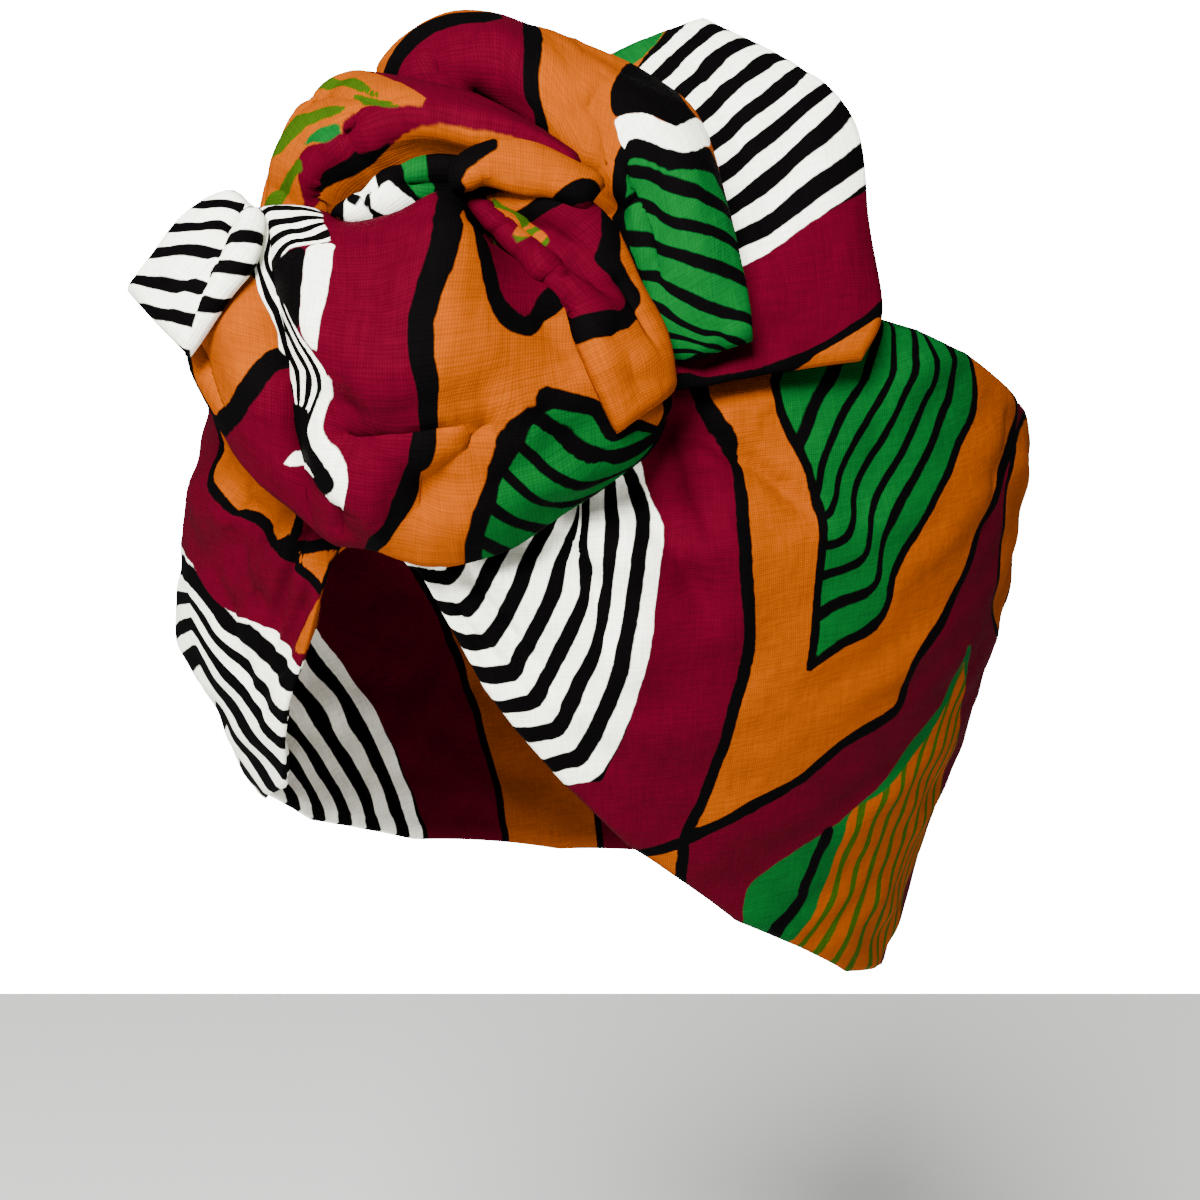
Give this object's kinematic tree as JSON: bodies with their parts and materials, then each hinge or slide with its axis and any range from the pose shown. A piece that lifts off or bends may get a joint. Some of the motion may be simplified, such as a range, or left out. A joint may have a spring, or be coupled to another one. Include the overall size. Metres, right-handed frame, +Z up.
{
  "type": "wired head wrap",
  "caption": "Head wrap of doubled printed cotton: a broad band round the head, open in a V over the brow, twisted into a rosette of folds with a standing panel and a short free end.",
  "frame": {"origin": "middle of the head opening, level with the widest part of the head above the ears", "axes": "+Z up the wearer's head, -Y the way the wearer faces, +X the wearer's left"},
  "size_m": [0.1671, 0.226, 0.2067],
  "materials": {
    "head_band": "matt printed cotton",
    "knot": "matt printed cotton",
    "rosette_front_fold": "matt printed cotton",
    "rosette_right_fold": "matt printed cotton",
    "rosette_inner_fold": "matt printed cotton",
    "rosette_core_tip": "matt printed cotton",
    "rosette_arch_fold": "matt printed cotton",
    "rosette_top_loop": "matt printed cotton",
    "left_tail": "matt printed cotton",
    "back_panel": "matt printed cotton"
  },
  "bodies": {
    "root": {"head_band": "head_band", "knot": "knot", "rosette_front_fold": "rosette_front_fold", "rosette_right_fold": "rosette_right_fold", "rosette_inner_fold": "rosette_inner_fold", "rosette_core_tip": "rosette_core_tip", "rosette_arch_fold": "rosette_arch_fold", "rosette_top_loop": "rosette_top_loop", "left_tail": "left_tail", "back_panel": "back_panel"}
  },
  "joints": []
}
